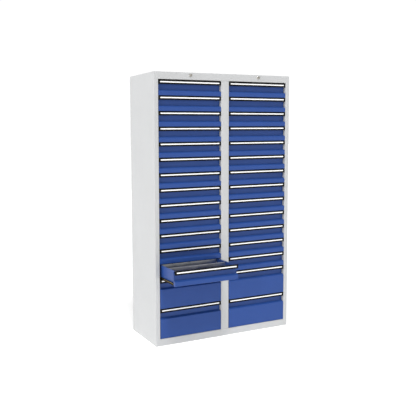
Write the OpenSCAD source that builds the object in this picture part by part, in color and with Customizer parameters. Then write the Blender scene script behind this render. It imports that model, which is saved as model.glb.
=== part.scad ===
// Parts bin cabinet: a free-standing sheet-steel carcass with two columns of
// drawers. Every drawer has a full-width finger recess under a black label
// rail, runs on folded rails with nylon glides, and is held shut by a central
// locking bar, one to a column, worked by a key in the header.
// Origin: centre of the carcass footprint on the floor. The front frame faces
// -Y, +X is to the right when facing the drawers, +Z is up.

/* [Carcass] */
// Overall width of the carcass
cab_w = 1055; // [1000:5:1200]
// Overall depth of the carcass
cab_d = 400; // [400:10:500]
// Sheet thickness of the carcass panels
sheet_t = 1; // [0.8:0.1:1.2]
// Width of the front stile at each side
stile_w = 31; // [28:1:40]
// Width of the mullion between the two columns
mullion_w = 60; // [56:2:80]
// Height of the header rail
header_h = 47; // [44:1:60]
// Height of the plinth rail
plinth_h = 46; // [40:1:80]
// Depth of the lips folded in round the drawer openings
lip_d = 24; // [20:1:24]

/* [Drawers] */
// Number of small drawers in a column
n_small = 13; // [13]
// Number of large drawers at the foot of a column
n_large = 2; // [2]
// Spacing of the small drawers
pitch = 100; // [100:5:120]
// Spacing of the large drawers
large_pitch = 200; // [180:10:240]
// Visible gap between two drawer fronts
front_gap = 1.5; // [1.5:0.5:3]
// How far a drawer opens
travel = 300; // [250:10:300]
// How far the open drawer of the left column stands out
open_out = 220; // [0:10:300]
// Which drawer of the left column stands open, counted from the top
open_no = 13; // [13]
// Depth of the finger recess in the drawer fronts
recess_d = 22; // [18:1:24]
// Height of the black label rail
rail_h = 26.5; // [25:0.5:32]
// Height of the label strip that shows
label_h = 8; // [7:0.5:12]
// Middle of the label strip below the top of the drawer front
label_z = 12.5; // [12:0.5:14]

/* [Locks] */
// Turn of the key from open to locked, in degrees
lock_turn = 90; // [90]
// Crank radius that lifts the locking bar
crank_r = 7.5; // [6:0.5:8]
// Radius of the key's bow
bow_r = 9.3; // [8:0.1:11]

/* [Hidden] */
hw = cab_w / 2;
yf = -cab_d / 2;
yb = cab_d / 2;
n_all = n_small + n_large;
stack_z0 = plinth_h + 2.5;
stack_z1 = stack_z0 + n_small * pitch + n_large * large_pitch;
head_z0 = stack_z1 + 4.5;
cab_h = head_z0 + header_h;
open_x0 = mullion_w / 2;               // opening edges of the right column
open_x1 = hw - stile_w;
col_x = (open_x0 + open_x1) / 2;       // centre of a column
open_hw = (open_x1 - open_x0) / 2;     // half width of a column's opening
front_hw = open_hw - 2;                // half width of a drawer front
tray_hw = open_hw - 14;                // half width over the tray's sides
tray_t = 1;
tray_y0 = yf + recess_d + 1.1;         // outer face of the tray's front wall
tray_y1 = yb - 28;                     // outer face of the tray's rear wall
rail_t = 1.2;
rail_y0 = yf + 28;                     // front end of the slide rails
glide_y0 = tray_y1 - 31;               // rear glide on the drawer
glide_y1 = tray_y1 - 16.5;
lock_z = head_z0 + header_h - 18.4;    // height of the lock's axis
lift = 2 * crank_r * sin(lock_turn / 2);
bar_y = yb - 14;                       // front face of the locking bar
back_y = yb - 1.6;                     // front face of the back panel
bend = 1.5;                            // inner radius of the folds
eps = 0.1;                             // joint line between pieces in one node

paint_grey = [0.80, 0.81, 0.81];
paint_blue = [0.20, 0.33, 0.62];
plastic_black = [0.05, 0.05, 0.06];
label_white = [0.96, 0.96, 0.96];
zinc = [0.72, 0.72, 0.68];
nylon = [0.88, 0.86, 0.78];
nickel = [0.62, 0.62, 0.62];

// ---- drawer layout, counted from 1 at the top ----
function d_top(i) = i <= n_small
  ? stack_z1 - (i - 1) * pitch
  : stack_z1 - n_small * pitch - (i - n_small - 1) * large_pitch;
function d_h(i) = (i <= n_small ? pitch : large_pitch) - front_gap
  + (i == n_all ? 2.5 : 0);
function d_foot(i) = d_top(i) - d_h(i) + 2;   // underside of the tray

// ---- folded sheet: the outline of a bent strip, from its centre line ----
function unit(v) = v / norm(v);
function lft(d) = [-d[1], d[0]];
function turned(v, a) = [v[0] * cos(a) - v[1] * sin(a), v[0] * sin(a) + v[1] * cos(a)];
function corner(p, i, rc, n) =
  let (d1 = unit(p[i] - p[i - 1]), d2 = unit(p[i + 1] - p[i]),
       cr = d1[0] * d2[1] - d1[1] * d2[0],
       ang = acos(max(-1, min(1, d1 * d2))), s = cr >= 0 ? 1 : -1,
       start = p[i] - d1 * rc * tan(ang / 2),
       c = start + s * rc * lft(d1))
  [for (k = [0:n]) let (nv = turned(lft(d1), s * ang * k / n)) [c - s * rc * nv, nv]];
function samples(p, rc, n) = concat(
  [[p[0], lft(unit(p[1] - p[0]))]],
  [for (i = [1:len(p) - 2]) each corner(p, i, rc, n)],
  [[p[len(p) - 1], lft(unit(p[len(p) - 1] - p[len(p) - 2]))]]);
function strip(p, t, r = bend, n = 3) =
  let (s = samples(p, r + t / 2, n), m = len(s) - 1)
  concat([for (k = [0:m]) s[k][0] + s[k][1] * t / 2],
         [for (k = [m:-1:0]) s[k][0] - s[k][1] * t / 2]);

// A 2-D outline in Y and Z, drawn out along X
module along_x(x0, x1) translate([x0, 0, 0]) rotate([90, 0, 90]) linear_extrude(height = x1 - x0) children();
// A 2-D outline in X and Z, drawn out along Y
module along_y(y0, y1) translate([0, y1, 0]) rotate([90, 0, 0]) linear_extrude(height = y1 - y0) children();
// A 2-D outline in X and Y, drawn out along Z
module along_z(z0, z1) translate([0, 0, z0]) linear_extrude(height = z1 - z0) children();
module block(x0, x1, y0, y1, z0, z1) translate([x0, y0, z0]) cube([x1 - x0, y1 - y0, z1 - z0]);
// A round bar along Y
module rod_y(r, y0, y1, fn = 48) translate([0, y1, 0]) rotate([90, 0, 0]) cylinder(r = r, h = y1 - y0, $fn = fn);

// ---- carcass ----
// One sheet: inner lip, front stile, side, rear return. The lip stops at the plinth and the header
module side_panel(s) {
  h = sheet_t / 2;
  rest = [[hw - h, yf + h], [hw - h, back_y - h], [hw - 22, back_y - h]];
  color(paint_grey) scale([s, 1, 1]) {
    along_z(plinth_h, head_z0)
      polygon(strip(concat([[open_x1 + h, yf + lip_d], [open_x1 + h, yf + h]], rest), sheet_t));
    for (z = [[0, plinth_h], [head_z0, cab_h - sheet_t]])
      along_z(z[0], z[1]) polygon(strip(concat([[open_x1, yf + h]], rest), sheet_t));
  }
}
module side_panel_left() { side_panel(-1); }
module side_panel_right() { side_panel(1); }

module top_panel() {
  z1 = cab_h;
  color(paint_grey) {
    block(-hw, hw, yf, back_y, z1 - sheet_t, z1);
    for (s = [-1, 1]) block(s * (hw - sheet_t - 0.6) - 0.5, s * (hw - sheet_t - 0.6) + 0.5, yf + 30, back_y - 12, z1 - 20, z1 - sheet_t);
    block(-open_x1 + 6, open_x1 - 6, yf + 1.1, yf + 2.1, z1 - 6, z1 - sheet_t);
    block(-open_x1 - 4, open_x1 + 4, back_y - 4.6, back_y - 3.6, z1 - 20, z1 - sheet_t);
  }
}

// Front face and lower lip, bored for the two lock barrels
module header_rail() {
  h = sheet_t / 2;
  color(paint_grey) difference() {
    along_x(-open_x1 + eps, open_x1 - eps)
      polygon(strip([
        [yf + lip_d, head_z0 + h], [yf + h, head_z0 + h], [yf + h, cab_h - sheet_t]], sheet_t));
    for (s = [-1, 1]) translate([s * col_x, 0, lock_z]) rod_y(8.1, yf - 2, yf + 3);
  }
}

module plinth_rail() {
  h = sheet_t / 2;
  color(paint_grey)
    along_x(-open_x1 + eps, open_x1 - eps)
      polygon(strip([
        [yf + h, 0], [yf + h, plinth_h - h], [yf + lip_d, plinth_h - h]], sheet_t));
}

// Flat pan that the cabinet stands on, with upturned edges
module base_pan() {
  t = 1.2;
  xw = hw - sheet_t - eps;
  y1 = back_y - 3.4;
  color(paint_grey) {
    block(-xw, xw, yf + lip_d + 1, y1, 0, t);
    block(-open_x1 + 0.6, open_x1 - 0.6, yf + 1.1, yf + lip_d + 1, 0, t);
    for (s = [-1, 1]) block(s * (xw - t / 2) - t / 2, s * (xw - t / 2) + t / 2, yf + lip_d + 4, y1, 0, 30);
    block(-xw, xw, y1 - t, y1, 0, 30);
    block(-open_x1 + 2, open_x1 - 2, yf + 1.1, yf + 1.1 + t, 0, 24);
  }
}

// Back sheet with four shallow swaged stiffeners
module back_panel() {
  t = 0.8;
  y = back_y + t / 2;
  x1 = hw - 3.5;
  ribs = [-hw * 0.75, -hw * 0.25, hw * 0.25, hw * 0.75];
  color(paint_grey)
    along_z(6, cab_h - 6)
      polygon(strip(concat(
        [[-x1, y]],
        [for (r = ribs) each [[r - 26, y], [r - 20, y - 3], [r + 20, y - 3], [r + 26, y]]],
        [[x1, y]]), t, 1, 2));
}

module back_panel_rivets() {
  n = 12;
  color(nickel) {
    for (s = [-1, 1], k = [0:n - 1])
      translate([s * (hw - 12), 0, 40 + k * (cab_h - 80) / (n - 1)]) rod_y(3.2, yb - 0.8, yb, 24);
  }
}

// Channel that closes the gap between the two columns
module front_mullion() {
  h = sheet_t / 2;
  m = mullion_w / 2 - h;
  color(paint_grey)
    along_z(plinth_h, head_z0)
      polygon(strip([[-m, yf + lip_d], [-m, yf + h], [m, yf + h], [m, yf + lip_d]], sheet_t));
}

module partition_panel() {
  color(paint_grey) block(-sheet_t / 2, sheet_t / 2, yf + lip_d + 1, back_y - 5, 1.3, cab_h - sheet_t - eps);
}

// Hat-section upright between a wall face and the slide rails
module upright(wall, crown, y0) {
  t = 1.2;
  s = crown > wall ? 1 : -1;
  a = wall + s * t / 2;
  c = crown - s * t / 2;
  along_z(31, stack_z1)
    polygon(strip([[a, y0], [a, y0 + 8], [c, y0 + 8], [c, y0 + 32], [a, y0 + 32], [a, y0 + 40]], t));
}
module uprights(s) {
  color(zinc) for (y0 = [yf + 40, yb - 80]) {
    upright(s * (hw - sheet_t), s * open_x1, y0);
    upright(s * sheet_t / 2, s * open_x0, y0);
  }
}
module uprights_left_bay() { uprights(-1); }
module uprights_right_bay() { uprights(1); }

// Cabinet-side rail: a channel open to the drawer, with a stop tab behind
module slide_rail(s, i) {
  z0 = 0;
  x0 = open_hw;
  color(zinc) translate([0, 0, d_foot(i)]) scale([s, 1, 1]) {
    along_y(rail_y0, tray_y1 - 14.8)
      polygon([[x0, z0 - 2.8], [x0, z0 + 16.8], [x0 - 10.2, z0 + 16.8], [x0 - 10.2, z0 + 15.6],
               [x0 - rail_t, z0 + 15.6], [x0 - rail_t, z0 - 1.6], [x0 - 10.2, z0 - 1.6], [x0 - 10.2, z0 - 2.8]]);
    block(x0 - 10.2, x0, tray_y1 - 16, tray_y1 - 14.8, z0 - 2.8, z0 + 16.8);
  }
}
module slide_rails(s) translate([s * col_x, 0, 0]) for (i = [1:n_all], e = [-1, 1]) slide_rail(e, i);
module slide_rails_left_bay() { slide_rails(-1); }
module slide_rails_right_bay() { slide_rails(1); }

// Nylon sleeve in the mouth of each rail
module front_glide(s, i) {
  z0 = 0;
  x0 = open_hw - rail_t;
  color(nylon) translate([0, 0, d_foot(i)]) scale([s, 1, 1])
    along_y(rail_y0, rail_y0 + 12)
      polygon([[x0, z0 - 1.6], [x0, z0 + 15.6], [x0 - 9, z0 + 15.6], [x0 - 9, z0 + 14.4],
               [x0 - 1.2, z0 + 14.4], [x0 - 1.2, z0 - 0.4], [x0 - 9, z0 - 0.4], [x0 - 9, z0 - 1.6]]);
}
module front_glides(s) translate([s * col_x, 0, 0]) for (i = [1:n_all], e = [-1, 1]) front_glide(e, i);
module front_glides_left_bay() { front_glides(-1); }
module front_glides_right_bay() { front_glides(1); }

// ---- locks ----
module lock_housing(s) {
  translate([s * col_x, 0, lock_z]) {
    color(nickel) difference() {
      union() {
        rod_y(10.5, yf - 2.4, yf);
        rod_y(8, yf - 0.5, yf + 19);
      }
      rod_y(5.6, yf - 5, yf + 25);
    }
    // hexagon nut behind the header
    color(zinc) difference() {
      translate([0, yf + 5.2, 0]) rotate([90, 0, 0]) cylinder(r = 11.6, h = 4, $fn = 6);
      rod_y(8.1, yf, yf + 8);
    }
  }
}
module lock_housing_left() { lock_housing(-1); }
module lock_housing_right() { lock_housing(1); }

// Turning plug with its keyway
module lock_cylinder(s) {
  color(nickel) translate([s * col_x, 0, lock_z]) difference() {
    union() {
      rod_y(5.5, yf - 3, yf + 20);
      rod_y(4, yf + 19, yf + 22);
    }
    block(-1.2, 1.2, yf - 4, yf + 17, -4.2, 4.2);
  }
}
module lock_cylinder_left() { lock_cylinder(-1); }
module lock_cylinder_right() { lock_cylinder(1); }

// Flat key: blade in the keyway, round pierced bow in front
module key(s) {
  bc = yf - 6.6 - bow_r * 0.92;
  color(nickel) translate([s * col_x, 0, lock_z]) {
    block(-1, 1, yf - 7.5, yf + 15, -3.6, 3.6);
    block(-1, 1, yf - 7.5, yf - 3.6, -5, 5);
    translate([-1, bc, 0]) rotate([0, 90, 0]) difference() {
      cylinder(r = bow_r, h = 2, $fn = 64);
      translate([0, -bow_r * 0.42, -1]) cylinder(r = 3.1, h = 4, $fn = 32);
    }
  }
}
module key_left() { key(-1); }
module key_right() { key(1); }

// Torsion shaft from the plug to the crank behind the drawers
module lock_shaft(s) {
  ys = bar_y - 7;
  color(zinc) translate([s * col_x, 0, lock_z]) {
    rod_y(3, yf + 22.1, ys + 3);
    rotate([0, -45, 0]) {
      rod_y(5.5, ys, ys + 3);
      block(-crank_r, 0, ys, ys + 3, -3.6, 3.6);
      translate([-crank_r, 0, 0]) rod_y(3.6, ys, ys + 3);
      translate([-crank_r, 0, 0]) rod_y(2, ys, bar_y + 5);
    }
  }
}
module lock_shaft_left() { lock_shaft(-1); }
module lock_shaft_right() { lock_shaft(1); }

// Vertical bar: one upturned finger behind each drawer, slotted yoke at the top
module lock_bar(s) {
  pz = lock_z - crank_r * sin(45);
  color(zinc) translate([s * col_x, 0, 0]) {
    block(-7, 7, bar_y, bar_y + 2, 120, pz - 7);
    for (i = [1:n_all]) {
      block(-5, 5, bar_y - 10.5, bar_y + 0.5, d_top(i) - 68, d_top(i) - 66.5);
      block(-5, 5, bar_y - 10.5, bar_y - 8.5, d_top(i) - 68, d_top(i) - 55.5);
    }
    difference() {
      block(-15, 7, bar_y, bar_y + 2, pz - 8, pz + 7);
      block(-11, -2, bar_y - 1, bar_y + 3, pz - 2.6, pz + 2.6);
    }
  }
}
module lock_bar_left() { lock_bar(-1); }
module lock_bar_right() { lock_bar(1); }

// Blocks on the back panel that the bars run in
module lock_bar_guides() {
  color(nylon) for (s = [-1, 1], i = [2, 6, 10, 13, 15]) {
    z1 = d_top(i) - 76;
    difference() {
      block(s * col_x - 14, s * col_x + 14, bar_y - 2, back_y, z1 - 18, z1);
      block(s * col_x - 7.4, s * col_x + 7.4, bar_y - 0.4, bar_y + 2.4, z1 - 19, z1 + 1);
    }
  }
}

// Hanging plates that carry the rear ends of the shafts
module lock_shaft_bearings() {
  color(zinc) for (s = [-1, 1]) {
    difference() {
      union() {
        block(s * col_x - 15, s * col_x + 15, bar_y - 23, bar_y - 21, lock_z - 12, cab_h - sheet_t);
        block(s * col_x - 15, s * col_x + 15, bar_y - 23, bar_y - 9, cab_h - sheet_t - 1.5, cab_h - sheet_t);
      }
      translate([s * col_x, 0, lock_z]) rod_y(3.4, bar_y - 26, bar_y - 18);
    }
  }
}

// ---- drawers: column side s, number i, out = how far it stands open ----
// Each is drawn with z = 0 at its top edge, then moved to its place.
// Open-topped box folded from one blank, with hemmed side and rear walls
module tray(h) {
  z0 = 2 - h;
  z1 = -4;
  color(paint_blue) {
    difference() {
      block(-tray_hw, tray_hw, tray_y0, tray_y1, z0, z1);
      block(-tray_hw + tray_t, tray_hw - tray_t, tray_y0 + tray_t, tray_y1 - tray_t, z0 + tray_t, z1 + 1);
    }
    for (e = [-1, 1]) block(e * (tray_hw - 1) - 1, e * (tray_hw - 1) + 1, tray_y0, tray_y1, z1 - 8, z1);
    block(-tray_hw, tray_hw, tray_y1 - 2, tray_y1, z1 - 8, z1);
  }
}

// Front sheet: top return, recess wall, slope, flat face, bottom return and end gussets
module front_sheet(h) {
  yw = yf + recess_d + 0.5;
  color(paint_blue) {
    along_x(-front_hw, front_hw)
      polygon(strip([
        [yf + 5, -4.4], [yw, -4.4], [yw, -61.4], [yf + 0.5, -69.5], [yf + 0.5, 0.5 - h], [yf + 15, 0.5 - h]], 1));
    for (e = [-1, 1]) along_x(e * (front_hw - 0.5) - 0.5, e * (front_hw - 0.5) + 0.5)
      polygon([[yf + 0.8, -71.2], [yw - 0.4, -62.4], [yw - 0.4, 6 - h], [yf + 14, 0.8 - h], [yf + 0.8, 0.8 - h]]);
  }
}

// Black profile: upper lip of the grip, with the groove for the label strip
module label_rail() {
  g = label_h / 2;
  color(plastic_black) difference() {
    along_x(-front_hw, front_hw)
      polygon([
        [yf + 1, -0.5], [yf + 10, -0.5], [yf + 10, -3.8],
        [yf + 3.6, -3.8], [yf + 3.6, 3.2 - rail_h], [yf + 6, 3.2 - rail_h], [yf + 6, -rail_h],
        [yf + 1, -rail_h], [yf, 1 - rail_h], [yf, -1.5]]);
    block(-front_hw + 12.25, front_hw - 12.25, yf - 1, yf + 1, -label_z - g, -label_z + g);
    block(-front_hw + 11, front_hw - 11, yf + 0.8, yf + 1.7, -label_z - 1.1 - g, -label_z + 1.1 + g);
  }
}

module label_strip() {
  g = label_h / 2 + 1;
  color(label_white) block(-front_hw + 11.2, front_hw - 11.2, yf + 0.9, yf + 1.6, -label_z - g, -label_z + g);
}

// Drawer-side rail and its rear glide
module drawer_rail(e, h) {
  z0 = 2 - h;
  x0 = tray_hw + eps;
  scale([e, 1, 1]) {
    color(zinc) along_y(rail_y0, glide_y0 - eps)
      polygon([[x0, z0], [x0 + 9, z0], [x0 + 9, z0 + rail_t], [x0 + rail_t, z0 + rail_t],
               [x0 + rail_t, z0 + 14 - rail_t], [x0 + 9, z0 + 14 - rail_t], [x0 + 9, z0 + 14], [x0, z0 + 14]]);
    color(nylon) block(x0, x0 + 12.2, glide_y0, glide_y1, z0 - 1.2, z0 + 15.2);
  }
}

// Bent tab on the rear wall that the locking finger catches
module lock_hook() {
  y0 = tray_y1 + eps;
  color(zinc) {
    block(-8, 8, y0, y0 + 1.2, -41.5, -26);
    block(-8, 8, y0, y0 + 11, -41.5, -40);
    block(-8, 8, y0 + 9.8, y0 + 11, -52, -40);
  }
}

module drawer(s, i, out = 0) translate([s * col_x, -out, d_top(i)]) {
  h = d_h(i);
  tray(h);
  front_sheet(h);
  label_rail();
  label_strip();
  for (e = [-1, 1]) drawer_rail(e, h);
  lock_hook();
}

// Two cross dividers, each with a foot, in the open drawer
module drawer_L13_dividers() {
  z0 = 2 - d_h(open_no) + tray_t + eps;
  span = (tray_y1 - tray_y0) / 3;
  color(zinc) translate([-col_x, -open_out, d_top(open_no)])
    for (k = [1, 2]) let (y = tray_y0 + k * span)
      along_x(-tray_hw + 2.4, tray_hw - 2.4)
        polygon(strip([[y + 12, z0 + 0.5], [y, z0 + 0.5], [y, -9.5], [y + 5, -9.5]], 1, 0.6));
}

module drawer_L01() { drawer(-1, 1); }
module drawer_L02() { drawer(-1, 2); }
module drawer_L03() { drawer(-1, 3); }
module drawer_L04() { drawer(-1, 4); }
module drawer_L05() { drawer(-1, 5); }
module drawer_L06() { drawer(-1, 6); }
module drawer_L07() { drawer(-1, 7); }
module drawer_L08() { drawer(-1, 8); }
module drawer_L09() { drawer(-1, 9); }
module drawer_L10() { drawer(-1, 10); }
module drawer_L11() { drawer(-1, 11); }
module drawer_L12() { drawer(-1, 12); }
module drawer_L13() { drawer(-1, 13, open_out); }
module drawer_L14() { drawer(-1, 14); }
module drawer_L15() { drawer(-1, 15); }
module drawer_R01() { drawer(1, 1); }
module drawer_R02() { drawer(1, 2); }
module drawer_R03() { drawer(1, 3); }
module drawer_R04() { drawer(1, 4); }
module drawer_R05() { drawer(1, 5); }
module drawer_R06() { drawer(1, 6); }
module drawer_R07() { drawer(1, 7); }
module drawer_R08() { drawer(1, 8); }
module drawer_R09() { drawer(1, 9); }
module drawer_R10() { drawer(1, 10); }
module drawer_R11() { drawer(1, 11); }
module drawer_R12() { drawer(1, 12); }
module drawer_R13() { drawer(1, 13); }
module drawer_R14() { drawer(1, 14); }
module drawer_R15() { drawer(1, 15); }

side_panel_left();
side_panel_right();
top_panel();
header_rail();
plinth_rail();
base_pan();
back_panel();
back_panel_rivets();
front_mullion();
partition_panel();
uprights_left_bay();
uprights_right_bay();
slide_rails_left_bay();
slide_rails_right_bay();
front_glides_left_bay();
front_glides_right_bay();
lock_housing_left();
lock_housing_right();
lock_bar_guides();
lock_shaft_bearings();
lock_cylinder_left();
lock_cylinder_right();
key_left();
key_right();
lock_shaft_left();
lock_shaft_right();
lock_bar_left();
lock_bar_right();
drawer_L13_dividers();
drawer_L01();
drawer_L02();
drawer_L03();
drawer_L04();
drawer_L05();
drawer_L06();
drawer_L07();
drawer_L08();
drawer_L09();
drawer_L10();
drawer_L11();
drawer_L12();
drawer_L13();
drawer_L14();
drawer_L15();
drawer_R01();
drawer_R02();
drawer_R03();
drawer_R04();
drawer_R05();
drawer_R06();
drawer_R07();
drawer_R08();
drawer_R09();
drawer_R10();
drawer_R11();
drawer_R12();
drawer_R13();
drawer_R14();
drawer_R15();
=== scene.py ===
import math

import bmesh
import bpy
from mathutils import Matrix, Vector


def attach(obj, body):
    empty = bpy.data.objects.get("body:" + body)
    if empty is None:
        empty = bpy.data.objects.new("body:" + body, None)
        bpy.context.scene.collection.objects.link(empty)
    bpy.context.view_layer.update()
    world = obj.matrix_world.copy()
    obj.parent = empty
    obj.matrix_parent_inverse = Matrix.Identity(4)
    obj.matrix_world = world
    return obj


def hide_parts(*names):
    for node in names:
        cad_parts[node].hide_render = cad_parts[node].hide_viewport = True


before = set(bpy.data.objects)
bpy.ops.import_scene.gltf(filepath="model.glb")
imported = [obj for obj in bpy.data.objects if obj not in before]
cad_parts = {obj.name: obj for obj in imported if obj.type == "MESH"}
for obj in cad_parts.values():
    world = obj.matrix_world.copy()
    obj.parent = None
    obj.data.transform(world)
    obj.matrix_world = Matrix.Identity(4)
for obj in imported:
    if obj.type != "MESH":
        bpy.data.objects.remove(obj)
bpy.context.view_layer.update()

# ---------------------------------------------------------------- dimensions, in millimetres
MM = 0.001
HW, YF, BACK_Y, CAB_H = 527.5, -200.0, 198.4, 1800.0
OPEN_X0, OPEN_X1, COL_X = 30.0, 496.5, 263.25
FRONT_HW, TRAY_HW = 231.25, 219.25
TRAY_Y0, TRAY_Y1 = -176.9, 172.0
RAIL_Y0, GLIDE_Y0, GLIDE_Y1 = -172.0, 141.0, 155.5
HEAD_Z0, PLINTH_H, LOCK_Z = 1753.0, 46.0, 1781.6
OPEN_NO, OPEN_OUT = 13, 220.0
LIP = 24.0


def d_top(i):
    return 1748.5 - (i - 1) * 100.0 if i <= 13 else 448.5 - (i - 14) * 200.0


def d_height(i):
    return 98.5 if i <= 13 else (198.5 if i == 14 else 201.0)


# ---------------------------------------------------------------- mesh building
def at(axis, a, u, v):
    """A point a along the axis, with u and v in the plane across it, in metres."""
    if axis == "x":
        p = (a, u, v)
    elif axis == "y":
        p = (u, a, v)
    else:
        p = (u, v, a)
    return Vector(p) * MM


def rounded(points, radii, n=5, closed=False):
    """The points of a line with its corners rounded. radii has one number, or one per corner."""
    pts = [Vector(p) for p in points]
    m = len(pts)
    r_of = (lambda i: radii[i]) if isinstance(radii, (list, tuple)) else (lambda i: radii)
    out = []
    for i in range(m):
        if not closed and i in (0, m - 1):
            out.append(pts[i].copy())
            continue
        p, a, b = pts[i], pts[i - 1], pts[(i + 1) % m]
        r = r_of(i)
        d1, d2 = (p - a).normalized(), (b - p).normalized()
        cross = d1.x * d2.y - d1.y * d2.x
        angle = math.acos(max(-1.0, min(1.0, d1.dot(d2))))
        if r <= 0 or angle < 1e-4:
            out.append(p.copy())
            continue
        s = 1.0 if cross >= 0 else -1.0
        start = p - d1 * r * math.tan(angle / 2)
        left = Vector((-d1.y, d1.x))
        centre = start + left * (s * r)
        for k in range(n + 1):
            t = s * angle * k / n
            nv = Vector((left.x * math.cos(t) - left.y * math.sin(t), left.x * math.sin(t) + left.y * math.cos(t)))
            out.append(centre - nv * (s * r))
    return out


def normals_of(line):
    """The left-hand normal at each point of an open line."""
    out = []
    for i in range(len(line)):
        a, b = line[max(0, i - 1)], line[min(len(line) - 1, i + 1)]
        if 0 < i < len(line) - 1:
            d = (line[i] - line[i - 1]).normalized() + (line[i + 1] - line[i]).normalized()
        else:
            d = b - a
        d.normalize()
        out.append(Vector((-d.y, d.x)))
    return out


def folded(bm, path, a0, a1, axis, t=1.0, radii=2.0, n=6, mat=0, cuts=()):
    """A folded sheet: the centre line of its section, drawn out from a0 to a1 along the axis."""
    line = rounded(path, radii, n)
    nor = normals_of(line)
    stations = [a0, *cuts, a1]
    grid = []
    for a in stations:
        outer = [bm.verts.new(at(axis, a, *(p + q * (t / 2)))) for p, q in zip(line, nor)]
        inner = [bm.verts.new(at(axis, a, *(p - q * (t / 2)))) for p, q in zip(line, nor)]
        grid.append((outer, inner))
    made = []
    for (o0, i0), (o1, i1) in zip(grid, grid[1:]):
        for k in range(len(line) - 1):
            made.append(bm.faces.new((o0[k], o0[k + 1], o1[k + 1], o1[k])))
            made.append(bm.faces.new((i0[k + 1], i0[k], i1[k], i1[k + 1])))
        made.append(bm.faces.new((o0[0], o1[0], i1[0], i0[0])))
        made.append(bm.faces.new((o0[-1], i0[-1], i1[-1], o1[-1])))
    for (o, i), flip in ((grid[0], 0), (grid[-1], 1)):
        for k in range(len(line) - 1):
            f = (o[k], i[k], i[k + 1], o[k + 1])
            made.append(bm.faces.new(f if not flip else tuple(reversed(f))))
    for f in made:
        f.material_index = mat
    return made


def prism(bm, outline, a0, a1, axis, mat=0, cuts=()):
    """A closed outline drawn out from a0 to a1 along the axis."""
    rings = [[bm.verts.new(at(axis, a, *p)) for p in outline] for a in (a0, *cuts, a1)]
    made = []
    m = len(outline)
    for r0, r1 in zip(rings, rings[1:]):
        for k in range(m):
            made.append(bm.faces.new((r0[k], r0[(k + 1) % m], r1[(k + 1) % m], r1[k])))
    caps = [bm.faces.new(list(reversed(rings[0]))), bm.faces.new(rings[-1])]
    for f in made + caps:
        f.material_index = mat
    bmesh.ops.triangulate(bm, faces=caps, quad_method="BEAUTY", ngon_method="EAR_CLIP")
    return made


def box(bm, x0, x1, y0, y1, z0, z1, bevel=0.0, mat=0, seg=2):
    """A block, with its edges rounded by bevel."""
    part = bmesh.new()
    vs = [part.verts.new(Vector((x, y, z)) * MM) for x in (x0, x1) for y in (y0, y1) for z in (z0, z1)]
    for f in ((0, 1, 3, 2), (4, 6, 7, 5), (0, 4, 5, 1), (2, 3, 7, 6), (0, 2, 6, 4), (1, 5, 7, 3)):
        part.faces.new([vs[i] for i in f])
    if bevel > 0:
        bmesh.ops.bevel(part, geom=part.edges[:], offset=bevel * MM, segments=seg, profile=0.5, affect="EDGES")
    add(bm, part, mat)


def add(bm, part, mat=None):
    """Moves the mesh part into bm."""
    if mat is not None:
        for f in part.faces:
            f.material_index = mat
    bmesh.ops.recalc_face_normals(part, faces=part.faces[:])
    me = bpy.data.meshes.new("part")
    part.to_mesh(me)
    part.free()
    bm.from_mesh(me)
    bpy.data.meshes.remove(me)


def lathe(bm, profile, x, z, seg=48, mat=0):
    """A closed section of (radius, y) points turned about the line along Y through x and z."""
    rings = []
    for k in range(seg):
        c, s = math.cos(2 * math.pi * k / seg), math.sin(2 * math.pi * k / seg)
        rings.append([bm.verts.new(Vector((x + r * c, y, z + r * s)) * MM) for r, y in profile])
    made = []
    m = len(profile)
    for k in range(seg):
        r0, r1 = rings[k], rings[(k + 1) % seg]
        for j in range(m):
            made.append(bm.faces.new((r0[j], r1[j], r1[(j + 1) % m], r0[(j + 1) % m])))
    for f in made:
        f.material_index = mat
    return made


def plate(bm, outline, holes, x0, x1, bevel=0.0, mat=0):
    """A flat plate in the Y-Z plane with holes, from x0 to x1, with its edges rounded."""
    cu = bpy.data.curves.new("plate", "CURVE")
    cu.dimensions, cu.fill_mode = "2D", "BOTH"
    cu.extrude = ((x1 - x0) / 2 - bevel) * MM
    cu.bevel_depth, cu.bevel_resolution = bevel * MM, 2
    cu.offset = -bevel * MM
    for line in (outline, *holes):
        sp = cu.splines.new("POLY")
        sp.points.add(len(line) - 1)
        for p, q in zip(sp.points, line):
            p.co = (q[0] * MM, q[1] * MM, 0, 1)
        sp.use_cyclic_u = True
    ob = bpy.data.objects.new("plate", cu)
    bpy.context.scene.collection.objects.link(ob)
    bpy.context.view_layer.update()
    me = bpy.data.meshes.new_from_object(ob.evaluated_get(bpy.context.evaluated_depsgraph_get()))
    part = bmesh.new()
    part.from_mesh(me)
    for v in part.verts:
        v.co = Vector((v.co.z + (x0 + x1) / 2 * MM, v.co.x, v.co.y))
    bmesh.ops.remove_doubles(part, verts=part.verts[:], dist=1e-6)
    bpy.data.objects.remove(ob)
    bpy.data.curves.remove(cu)
    bpy.data.meshes.remove(me)
    add(bm, part, mat)


def circle(u, v, r, n=48, start=0.0, end=360.0, close=False):
    last = n + 1 if close else n
    return [
        (u + r * math.cos(math.radians(start + (end - start) * k / n)), v + r * math.sin(math.radians(start + (end - start) * k / n)))
        for k in range(last)
    ]


def piece(name, bm, body, mats, replaces=(), angle=32.0):
    """Turns bm into a shown piece that rides on a body."""
    bmesh.ops.recalc_face_normals(bm, faces=bm.faces[:])
    me = bpy.data.meshes.new(name)
    bm.to_mesh(me)
    bm.free()
    me.polygons.foreach_set("use_smooth", [True] * len(me.polygons))
    me.set_sharp_from_angle(angle=math.radians(angle))
    ob = bpy.data.objects.new(name, me)
    bpy.context.scene.collection.objects.link(ob)
    for m in mats:
        me.materials.append(m)
    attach(ob, body)
    if replaces:
        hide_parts(*replaces)
    return ob


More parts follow.
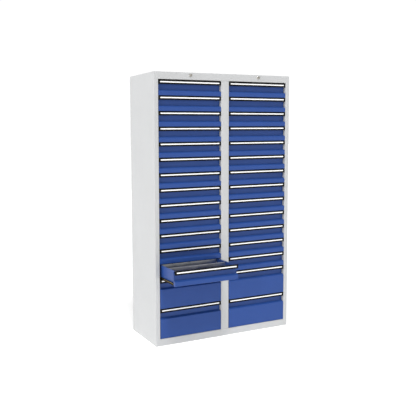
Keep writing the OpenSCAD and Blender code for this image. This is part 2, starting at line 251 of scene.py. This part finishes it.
# ---------------------------------------------------------------- materials
def new_material(name):
    m = bpy.data.materials.new(name)
    m.use_nodes = True
    nt = m.node_tree
    p = nt.nodes["Principled BSDF"]
    co = nt.nodes.new("ShaderNodeTexCoord")
    return m, nt, p, co


def noise(nt, co, scale, detail=2.0, rough=0.5, stretch=None):
    n = nt.nodes.new("ShaderNodeTexNoise")
    n.inputs["Scale"].default_value = scale
    n.inputs["Detail"].default_value = detail
    n.inputs["Roughness"].default_value = rough
    if stretch:
        mp = nt.nodes.new("ShaderNodeMapping")
        mp.inputs["Scale"].default_value = stretch
        nt.links.new(co.outputs["Object"], mp.inputs["Vector"])
        nt.links.new(mp.outputs["Vector"], n.inputs["Vector"])
    else:
        nt.links.new(co.outputs["Object"], n.inputs["Vector"])
    return n.outputs["Fac"]


def ramp(nt, fac, stops):
    r = nt.nodes.new("ShaderNodeValToRGB")
    while len(r.color_ramp.elements) < len(stops):
        r.color_ramp.elements.new(0.5)
    for e, (pos, col) in zip(r.color_ramp.elements, stops):
        e.position = pos
        e.color = (*col, 1.0)
    nt.links.new(fac, r.inputs["Fac"])
    return r.outputs["Color"]


def span(nt, fac, lo, hi, a=0.3, b=0.7):
    r = nt.nodes.new("ShaderNodeMapRange")
    r.inputs["From Min"].default_value, r.inputs["From Max"].default_value = a, b
    r.inputs["To Min"].default_value, r.inputs["To Max"].default_value = lo, hi
    nt.links.new(fac, r.inputs["Value"])
    return r.outputs["Result"]


def bump(nt, p, height, distance, strength=1.0):
    b = nt.nodes.new("ShaderNodeBump")
    b.inputs["Strength"].default_value = strength
    b.inputs["Distance"].default_value = distance
    nt.links.new(height, b.inputs["Height"])
    nt.links.new(b.outputs["Normal"], p.inputs["Normal"])


def powder_coat(name, base, rough, swing=0.03, spec=0.5, peel=0.00005):
    """Baked powder paint: nearly even colour, fine orange peel, a soft gloss that varies a little."""
    m, nt, p, co = new_material(name)
    low = tuple(c * (1 - swing) for c in base)
    high = tuple(min(1.0, c * (1 + swing)) for c in base)
    colour = ramp(nt, noise(nt, co, 5.0, 3.0), [(0.32, low), (0.5, base), (0.68, high)])
    speck = ramp(nt, noise(nt, co, 900.0, 1.0), [(0.3, (0.97, 0.97, 0.97)), (0.6, (1.0, 1.0, 1.0))])
    mix = nt.nodes.new("ShaderNodeMix")
    mix.data_type, mix.blend_type = "RGBA", "MULTIPLY"
    mix.inputs["Factor"].default_value = 1.0
    nt.links.new(colour, mix.inputs["A"])
    nt.links.new(speck, mix.inputs["B"])
    nt.links.new(mix.outputs["Result"], p.inputs["Base Color"])
    nt.links.new(span(nt, noise(nt, co, 22.0, 4.0), rough - 0.035, rough + 0.035), p.inputs["Roughness"])
    bump(nt, p, noise(nt, co, 420.0, 2.0, 0.4), peel, 0.6)
    p.inputs["Specular IOR Level"].default_value = spec
    return m


def metal(name, base, tint, rough, scale, stretch=None, grain=0.00002):
    """Plated steel: a cloudy tint and a fine drawn grain."""
    m, nt, p, co = new_material(name)
    nt.links.new(ramp(nt, noise(nt, co, scale, 4.0, 0.6), [(0.3, base), (0.52, tint), (0.72, base)]), p.inputs["Base Color"])
    nt.links.new(span(nt, noise(nt, co, 60.0, 3.0, 0.6, stretch), rough - 0.08, rough + 0.08), p.inputs["Roughness"])
    bump(nt, p, noise(nt, co, 300.0, 2.0, 0.5, stretch), grain, 0.5)
    p.inputs["Metallic"].default_value = 1.0
    return m


def plastic(name, base, alt, rough, spec, scale, grain):
    """Moulded plastic with a fine grain."""
    m, nt, p, co = new_material(name)
    nt.links.new(ramp(nt, noise(nt, co, scale, 3.0), [(0.35, base), (0.65, alt)]), p.inputs["Base Color"])
    nt.links.new(span(nt, noise(nt, co, 90.0, 2.0), rough - 0.05, rough + 0.05), p.inputs["Roughness"])
    bump(nt, p, noise(nt, co, 1400.0, 2.0), grain, 0.5)
    p.inputs["Specular IOR Level"].default_value = spec
    return m


def card(name):
    """White card under a clear film."""
    m, nt, p, co = new_material(name)
    fibre = noise(nt, co, 180.0, 4.0, 0.65, (1.0, 1.0, 4.0))
    nt.links.new(ramp(nt, fibre, [(0.3, (0.875, 0.875, 0.865)), (0.6, (0.93, 0.93, 0.925))]), p.inputs["Base Color"])
    nt.links.new(span(nt, noise(nt, co, 35.0, 2.0), 0.42, 0.52), p.inputs["Roughness"])
    bump(nt, p, noise(nt, co, 700.0, 2.0), 0.00001, 0.4)
    p.inputs["Coat Weight"].default_value = 0.35
    p.inputs["Coat Roughness"].default_value = 0.12
    return m


GREY = powder_coat("grey_powder_coat", (0.437, 0.442, 0.446), 0.40, 0.012)
BLUE = powder_coat("blue_powder_coat", (0.018, 0.0565, 0.226), 0.34, 0.03, 0.25)
BLACK = plastic("black_matt_plastic", (0.0032, 0.0032, 0.0036), (0.0048, 0.0048, 0.0052), 0.55, 0.12, 30.0, 0.00002)
CARD = card("label_card")
YELLOW = metal("yellow_zinc", (0.34, 0.25, 0.09), (0.42, 0.33, 0.15), 0.36, 14.0, (1.0, 0.15, 1.0))
# painted shade: this near-black brown stands for the shade inside the runners' open channel, not for a dark steel
RUNNER_PAINTED_SHADE = metal("runner_channel_painted_shade", (0.020, 0.018, 0.016), (0.034, 0.030, 0.024), 0.46, 20.0, (1.0, 0.15, 1.0))
ZINC = metal("bright_zinc", (0.56, 0.57, 0.58), (0.66, 0.66, 0.65), 0.34, 18.0, (0.2, 1.0, 1.0))
NYLON = plastic("milky_nylon", (0.70, 0.68, 0.60), (0.76, 0.74, 0.67), 0.42, 0.5, 12.0, 0.00003)
NICKEL = metal("satin_nickel", (0.50, 0.49, 0.47), (0.58, 0.57, 0.55), 0.27, 40.0, (1.0, 1.0, 0.2))
KEY = metal("key_nickel_silver", (0.40, 0.38, 0.34), (0.47, 0.45, 0.41), 0.30, 60.0, (1.0, 1.0, 0.25))


# ---------------------------------------------------------------- carcass
def side_panel(s, name):
    bm = bmesh.new()
    x = lambda v: s * v
    back = [(x(HW - 0.5), BACK_Y - 0.5), (x(HW - 22), BACK_Y - 0.5)]
    with_lip = [(x(OPEN_X1 + 0.5), YF + LIP), (x(OPEN_X1 + 0.5), YF + 0.5), (x(HW - 0.5), YF + 0.5), *back]
    plain = [(x(OPEN_X1), YF + 0.5), (x(HW - 0.5), YF + 0.5), *back]
    folded(bm, with_lip, PLINTH_H, HEAD_Z0, "z")
    folded(bm, plain, 0.0, PLINTH_H, "z")
    folded(bm, plain, HEAD_Z0, CAB_H - 1.0, "z")
    return piece(name, bm, "cabinet", [GREY], [name.replace("carcass_", "")])


def cut(ob, cutters):
    """Cuts the closed mesh cutters out of a piece, and applies the result."""
    me = bpy.data.meshes.new("cutter")
    cutters.to_mesh(me)
    cutters.free()
    tool = bpy.data.objects.new("cutter", me)
    bpy.context.scene.collection.objects.link(tool)
    mod = ob.modifiers.new("cut", "BOOLEAN")
    mod.operation, mod.solver, mod.object = "DIFFERENCE", "EXACT", tool
    bpy.context.view_layer.update()
    out = bpy.data.meshes.new_from_object(ob.evaluated_get(bpy.context.evaluated_depsgraph_get()))
    ob.modifiers.clear()
    old = ob.data
    ob.data = out
    out.name = ob.name
    bpy.data.meshes.remove(old)
    bpy.data.objects.remove(tool)
    bpy.data.meshes.remove(me)
    out.polygons.foreach_set("use_smooth", [True] * len(out.polygons))
    out.set_sharp_from_angle(angle=math.radians(32))


side_panel(-1, "carcass_side_panel_left")
side_panel(1, "carcass_side_panel_right")

# header: face and lower lip in one fold, bored for the locks
bm = bmesh.new()
folded(bm, [(YF + LIP, HEAD_Z0 + 0.5), (YF + 0.5, HEAD_Z0 + 0.5), (YF + 0.5, CAB_H - 1.05)], -OPEN_X1, OPEN_X1, "x")
header = piece("carcass_header", bm, "cabinet", [GREY], ["header_rail"])
bm = bmesh.new()
for s in (-1, 1):
    prism(bm, circle(s * COL_X, LOCK_Z, 8.1, 40), YF - 3, YF + 3, "y")
bmesh.ops.recalc_face_normals(bm, faces=bm.faces[:])
cut(header, bm)

# plinth rail
bm = bmesh.new()
folded(bm, [(YF + 0.5, 0.0), (YF + 0.5, PLINTH_H - 0.5), (YF + LIP, PLINTH_H - 0.5)], -OPEN_X1, OPEN_X1, "x")
piece("carcass_plinth", bm, "cabinet", [GREY], ["plinth_rail"])

# top panel: plate with its four flanges
bm = bmesh.new()
box(bm, -HW, HW, YF, BACK_Y, CAB_H - 1.0, CAB_H, 0.35)
for s in (-1, 1):
    x = s * (HW - 1.6)
    box(bm, x - 0.5, x + 0.5, YF + 30, BACK_Y - 12, CAB_H - 20, CAB_H - 1.02)
box(bm, -OPEN_X1 + 6, OPEN_X1 - 6, YF + 1.1, YF + 2.1, CAB_H - 6, CAB_H - 1.02)
box(bm, -OPEN_X1 - 4, OPEN_X1 + 4, BACK_Y - 4.6, BACK_Y - 3.6, CAB_H - 20, CAB_H - 1.02)
piece("carcass_top", bm, "cabinet", [GREY], ["top_panel"])

# mullion between the columns
bm = bmesh.new()
folded(bm, [(-29.5, YF + LIP), (-29.5, YF + 0.5), (29.5, YF + 0.5), (29.5, YF + LIP)], PLINTH_H, HEAD_Z0, "z")
piece("carcass_mullion", bm, "cabinet", [GREY], ["front_mullion"])

# back panel with its swaged ribs, and the rivets that hold it
bm = bmesh.new()
y = BACK_Y + 0.4
line = [(-HW + 3.5, y)]
for r in (-0.75 * HW, -0.25 * HW, 0.25 * HW, 0.75 * HW):
    line += [(r - 26, y), (r - 20, y - 3), (r + 20, y - 3), (r + 26, y)]
line.append((HW - 3.5, y))
folded(bm, line, 6.0, CAB_H - 6.0, "z", t=0.8, radii=1.4, n=4)
piece("carcass_back", bm, "cabinet", [GREY], ["back_panel"])

bm = bmesh.new()
for s in (-1, 1):
    for k in range(12):
        z = 40 + k * (CAB_H - 80) / 11
        dome = [(0.6, 199.22), (3.2, 199.22), (3.15, 199.45), (2.6, 199.75), (1.6, 199.93), (0.6, 199.98)]
        lathe(bm, dome, s * (HW - 12), z, 20)
        lathe(bm, [(0.02, 199.24), (0.58, 199.24), (0.58, 199.80), (0.02, 199.80)], s * (HW - 12), z, 12)
piece("carcass_back_rivets", bm, "cabinet", [NICKEL], ["back_panel_rivets"])

PAINTED = {
    "base_pan": GREY, "partition_panel": GREY,
    "uprights_left_bay": ZINC, "uprights_right_bay": ZINC,
    "slide_rails_left_bay": YELLOW, "slide_rails_right_bay": YELLOW,
    "front_glides_left_bay": NYLON, "front_glides_right_bay": NYLON,
    "lock_bar_guides": NYLON, "lock_shaft_bearings": ZINC,
    "lock_shaft_left": ZINC, "lock_shaft_right": ZINC,
    "lock_bar_left": ZINC, "lock_bar_right": ZINC,
    "lock_cylinder_left": NICKEL, "lock_cylinder_right": NICKEL,
}
for node, mat in PAINTED.items():
    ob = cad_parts[node]
    for sl in ob.material_slots:
        sl.link = "OBJECT"
        sl.material = mat


# ---------------------------------------------------------------- locks and keys
def lock(s, side):
    x = s * COL_X
    bm = bmesh.new()
    section = rounded(
        [(5.7, YF - 1.7), (6.6, YF - 2.4), (9.4, YF - 2.4), (10.5, YF - 0.9), (10.5, YF - 0.02), (8.0, YF - 0.02), (8.0, YF + 19), (5.7, YF + 19)],
        [0.2, 0.3, 0.8, 0.5, 0.1, 0, 0.3, 0.2], 3, closed=True)
    lathe(bm, [tuple(p) for p in section], x, LOCK_Z, 64)
    # thread on the barrel: shallow rings
    for k in range(9):
        y0 = YF + 6.4 + k * 1.3
        lathe(bm, [(8.02, y0), (8.3, y0 + 0.35), (8.02, y0 + 0.7)], x, LOCK_Z, 40)
    nut = [(x + 11.6 * math.cos(math.radians(60 * k)), LOCK_Z + 11.6 * math.sin(math.radians(60 * k))) for k in range(6)]
    part = bmesh.new()
    outer = rounded(nut, 0.6, 3, closed=True)
    ring_o = [[part.verts.new(at("y", y, *p)) for p in outer] for y in (YF + 1.2, YF + 5.2)]
    inner = []
    for p in outer:
        d = (Vector(p) - Vector((x, LOCK_Z))).normalized()
        inner.append(Vector((x, LOCK_Z)) + d * 8.15)
    ring_i = [[part.verts.new(at("y", y, *p)) for p in inner] for y in (YF + 1.2, YF + 5.2)]
    m = len(outer)
    for k in range(m):
        j = (k + 1) % m
        part.faces.new((ring_o[0][k], ring_o[0][j], ring_o[1][j], ring_o[1][k]))
        part.faces.new((ring_i[0][j], ring_i[0][k], ring_i[1][k], ring_i[1][j]))
        part.faces.new((ring_o[0][j], ring_o[0][k], ring_i[0][k], ring_i[0][j]))
        part.faces.new((ring_o[1][k], ring_o[1][j], ring_i[1][j], ring_i[1][k]))
    add(bm, part, 1)
    piece(f"lock_{side}_housing", bm, "cabinet", [NICKEL, ZINC], [f"lock_housing_{side}"])

    # key: bow with its hole, shoulder, and a blade with cuts
    bc = YF - 6.6 - 9.3 * 0.92
    outline = circle(bc, LOCK_Z, 9.3, 56, 32.0, 328.0, close=True)
    blade = [
        (YF - 7.6, -5.0), (YF - 3.6, -5.0), (YF - 3.6, -3.6), (YF - 1.0, -3.6), (YF + 1.0, -2.3), (YF + 2.2, -2.3),
        (YF + 3.8, -3.1), (YF + 5.0, -2.0), (YF + 6.2, -2.0), (YF + 7.8, -3.3), (YF + 9.2, -2.5), (YF + 10.4, -2.5),
        (YF + 11.8, -3.4), (YF + 15.0, -1.2), (YF + 15.0, 1.6), (YF + 12.8, 3.6), (YF - 3.6, 3.6), (YF - 3.6, 5.0), (YF - 7.6, 5.0),
    ]
    outline = [(u, v) for u, v in outline]
    whole = outline + [(u, LOCK_Z + v) for u, v in blade]
    bm = bmesh.new()
    plate(bm, whole, [circle(bc - 9.3 * 0.42, LOCK_Z, 3.1, 28)], x - 0.98, x + 0.98, 0.18)
    piece(f"lock_{side}_key", bm, f"lock_{side}", [KEY], [f"key_{side}"])


lock(-1, "left")
lock(1, "right")


# ---------------------------------------------------------------- drawers
def drawer(s, i, tag):
    body = f"drawer_{tag}"
    out = OPEN_OUT if (s < 0 and i == OPEN_NO) else 0.0
    h = d_height(i)
    cx, top = s * COL_X, d_top(i)
    X = lambda v: cx + v
    Y = lambda v: v - out
    Z = lambda v: top + v
    z0 = 2 - h

    # tray: sides and bottom in one blank with hems, then the rear and front walls
    bm = bmesh.new()
    a, b = TRAY_HW - 0.5, TRAY_HW - 1.54
    folded(
        bm,
        [(X(-b), Z(-12)), (X(-b), Z(-4.5)), (X(-a), Z(-4.5)), (X(-a), Z(z0 + 0.5)),
         (X(a), Z(z0 + 0.5)), (X(a), Z(-4.5)), (X(b), Z(-4.5)), (X(b), Z(-12))],
        Y(TRAY_Y0), Y(TRAY_Y1), "y", radii=[0, 0.5, 0.5, 2.0, 2.0, 0.5, 0.5, 0], n=5)
    w = TRAY_HW - 1.05
    folded(
        bm,
        [(Y(TRAY_Y1 - 0.5), Z(z0 + 1.05)), (Y(TRAY_Y1 - 0.5), Z(-4.5)), (Y(TRAY_Y1 - 1.54), Z(-4.5)), (Y(TRAY_Y1 - 1.54), Z(-12))],
        X(-w + 1.1), X(w - 1.1), "x", radii=0.5, n=5)
    box(bm, X(-w + 1.1), X(w - 1.1), Y(TRAY_Y0 + 0.02), Y(TRAY_Y0 + 1), Z(z0 + 1.05), Z(-4.2), 0.2)
    piece(f"drawer_{tag}_tray", bm, body, [BLUE], [f"drawer_{tag}"])

    # front: top return, recess wall, slope, face and bottom return, with end gussets
    bm = bmesh.new()
    yw = YF + 22.5
    path = [
        (Y(YF + 5), Z(-4.4)), (Y(yw), Z(-4.4)), (Y(yw), Z(-61.4)), (Y(YF + 0.5), Z(-69.5)),
        (Y(YF + 0.5), Z(0.5 - h)), (Y(YF + 15), Z(0.5 - h))]
    folded(bm, path, X(-FRONT_HW), X(FRONT_HW), "x", radii=[0, 1.5, 1.0, 3.0, 2.0, 0], n=6)
    for e in (-1, 1):
        xa, xb = sorted((X(e * (FRONT_HW - 1.0)), X(e * (FRONT_HW - 0.02))))
        prism(bm, [(Y(YF + 1.05), Z(-71.8)), (Y(yw - 0.55), Z(-62.9)), (Y(yw - 0.55), Z(6 - h)), (Y(YF + 14), Z(1.05 - h)), (Y(YF + 3.0), Z(1.05 - h)), (Y(YF + 1.05), Z(3.0 - h))], xa, xb, "x")
    piece(f"drawer_{tag}_front", bm, body, [BLUE])

    # label rail: the extrusion with its groove, and the closed ends
    bm = bmesh.new()
    g0, g1 = -16.5, -8.5
    section = [
        (YF, g1), (YF, -1.0), (YF + 0.5, -0.5), (YF + 10.0, -0.5), (YF + 10.0, -3.8), (YF + 3.6, -3.8),
        (YF + 3.6, -23.3), (YF + 6.0, -23.3), (YF + 6.0, -26.5), (YF + 0.8, -26.5), (YF, -25.7), (YF, g0),
        (YF + 0.75, g0), (YF + 0.75, g0 - 1.1), (YF + 1.7, g0 - 1.1), (YF + 1.7, g1 + 1.1), (YF + 0.75, g1 + 1.1), (YF + 0.75, g1),
    ]
    radii = [0.25, 0.5, 0.4, 0.4, 0.3, 0.8, 0.8, 0.3, 0.6, 0.4, 0.5, 0.25, 0, 0, 0, 0, 0, 0]
    line = rounded([(Y(u), Z(v)) for u, v in section], radii, 3, closed=True)
    gx = FRONT_HW - 12.25
    prism(bm, line, X(-gx), X(gx), "x")
    end = rounded(
        [(Y(u), Z(v)) for u, v in section[1:11]], [0.5, 0.4, 0.4, 0.3, 0.8, 0.8, 0.3, 0.6, 0.4, 0.5], 3, closed=True)
    for e in (-1, 1):
        xa, xb = sorted((X(e * gx), X(e * FRONT_HW)))
        prism(bm, end, xa, xb, "x")
    piece(f"drawer_{tag}_label_rail", bm, body, [BLACK])

    bm = bmesh.new()
    box(bm, X(-gx), X(gx), Y(YF + 0.95), Y(YF + 1.6), Z(g0 - 1.0), Z(g1 + 1.0), 0.05, seg=1)
    piece(f"drawer_{tag}_label", bm, body, [CARD])

    # runners, their nylon glides and the locking hook
    bm = bmesh.new()
    for e in (-1, 1):
        q = lambda v: X(e * v)
        x0 = TRAY_HW + 0.1
        sec = [(q(x0 + 9), Z(z0 + 0.6)), (q(x0 + 0.6), Z(z0 + 0.6)), (q(x0 + 0.6), Z(z0 + 13.4)), (q(x0 + 9), Z(z0 + 13.4))]
        # the channel takes the painted shade colour; only the rib inside it shows the yellow zinc
        folded(bm, sec, Y(RAIL_Y0), Y(GLIDE_Y0 - 0.1), "y", t=1.2, radii=1.2, n=3, mat=2)
        xa, xb = sorted((q(x0 + 1.1), q(x0 + 2.0)))
        box(bm, xa, xb, Y(RAIL_Y0 + 0.5), Y(GLIDE_Y0 - 0.6), Z(z0 + 4.6), Z(z0 + 7.4), 0.4)
        xa, xb = sorted((q(x0), q(x0 + 12.2)))
        box(bm, xa, xb, Y(GLIDE_Y0), Y(GLIDE_Y1), Z(z0 - 1.2), Z(z0 + 15.2), 1.2, mat=1)
    hook = [(Y(TRAY_Y1 + 0.7), Z(-26)), (Y(TRAY_Y1 + 0.7), Z(-40.8)), (Y(TRAY_Y1 + 10.5), Z(-40.8)), (Y(TRAY_Y1 + 10.5), Z(-52))]
    folded(bm, hook, X(-8), X(8), "x", t=1.2, radii=1.0, n=3)
    piece(f"drawer_{tag}_runners", bm, body, [YELLOW, NYLON, RUNNER_PAINTED_SHADE])


for s, letter in ((-1, "L"), (1, "R")):
    for i in range(1, 16):
        drawer(s, i, f"{letter}{i:02d}")

# cross dividers of the open drawer
bm = bmesh.new()
zf = d_top(OPEN_NO) + 2 - d_height(OPEN_NO) + 1.1
for k in (1, 2):
    y = TRAY_Y0 + k * (TRAY_Y1 - TRAY_Y0) / 3 - OPEN_OUT
    zt = d_top(OPEN_NO) - 9.5
    folded(bm, [(y + 12, zf + 0.5), (y, zf + 0.5), (y, zt), (y + 5, zt)], -COL_X - TRAY_HW + 2.4, -COL_X + TRAY_HW - 2.4, "x", radii=1.1, n=4)
piece("drawer_L13_cross_dividers", bm, "drawer_L13", [ZINC], ["drawer_L13_dividers"])


# ---------------------------------------------------------------- stage, light, camera
def floor():
    m, nt, p, co = new_material("pale_floor")
    nt.links.new(ramp(nt, noise(nt, co, 0.6, 2.0), [(0.3, (0.74, 0.74, 0.74)), (0.7, (0.76, 0.76, 0.76))]), p.inputs["Base Color"])
    p.inputs["Roughness"].default_value = 0.7
    p.inputs["Specular IOR Level"].default_value = 0.1
    p.inputs["Emission Color"].default_value = (1.0, 1.0, 1.0, 1.0)
    p.inputs["Emission Strength"].default_value = 0.46
    me = bpy.data.meshes.new("floor")
    r = 60.0
    me.from_pydata([(-r, -r, 0), (r, -r, 0), (r, r, 0), (-r, r, 0)], [], [(0, 1, 2, 3)])
    me.materials.append(m)
    ob = bpy.data.objects.new("floor", me)
    bpy.context.scene.collection.objects.link(ob)


floor()


def soft_light(name, azimuth, elevation, strength, spread):
    """A far, broad light. Azimuth is measured from the front, towards the right."""
    li = bpy.data.lights.new(name, "SUN")
    li.energy, li.angle = strength, math.radians(spread)
    a, e = math.radians(azimuth), math.radians(elevation)
    ob = bpy.data.objects.new(name, li)
    way = Vector((math.sin(a) * math.cos(e), -math.cos(a) * math.cos(e), math.sin(e)))
    ob.location = way * 8.0
    ob.rotation_mode = "QUATERNION"
    ob.rotation_quaternion = (-way).to_track_quat("-Z", "Y")
    bpy.context.scene.collection.objects.link(ob)


soft_light("top_light", -14.0, 63.0, 2.25, 14.0)
soft_light("front_light", -20.0, 0.0, 0.30, 20.0)
soft_light("left_light", -78.0, 3.0, 2.75, 60.0)

# white walls with a dimmer ceiling
world = bpy.data.worlds.new("studio")
world.use_nodes = True
wt = world.node_tree
where = wt.nodes.new("ShaderNodeTexCoord")
parts = wt.nodes.new("ShaderNodeSeparateXYZ")
wt.links.new(where.outputs["Generated"], parts.inputs["Vector"])
level_of = wt.nodes.new("ShaderNodeMapRange")
level_of.interpolation_type = "SMOOTHSTEP"
level_of.inputs["From Min"].default_value, level_of.inputs["From Max"].default_value = 0.25, 0.55
level_of.inputs["To Min"].default_value, level_of.inputs["To Max"].default_value = 1.04, 0.25
wt.links.new(parts.outputs["Z"], level_of.inputs["Value"])
wt.nodes["Background"].inputs["Color"].default_value = (1.0, 1.0, 1.0, 1.0)
wt.links.new(level_of.outputs["Result"], wt.nodes["Background"].inputs["Strength"])
bpy.context.scene.world = world
bpy.context.scene.view_settings.view_transform = "Standard"

cam_data = bpy.data.cameras.new("camera")
cam_data.sensor_width, cam_data.sensor_height, cam_data.sensor_fit = 36.0, 36.0, "AUTO"
cam_data.lens = 603.95 / 416.0 * 36.0
cam_data.shift_x, cam_data.shift_y = 0.12, -0.04
cam_data.clip_start, cam_data.clip_end = 0.1, 200.0
cam = bpy.data.objects.new("camera", cam_data)
cam.location = (-2.1437, -3.7313, 1.4007)
yaw, pitch, roll = math.radians(24.908), math.radians(-5.391), math.radians(-0.525)
forward = Vector((math.sin(yaw) * math.cos(pitch), math.cos(yaw) * math.cos(pitch), math.sin(pitch)))
level = Vector((math.cos(yaw), -math.sin(yaw), 0.0))
upward = level.cross(forward)
right = level * math.cos(roll) + upward * math.sin(roll)
over = right.cross(forward)
cam.rotation_mode = "QUATERNION"
cam.rotation_quaternion = Matrix((right, over, -forward)).transposed().to_quaternion()
bpy.context.scene.collection.objects.link(cam)
bpy.context.scene.camera = cam
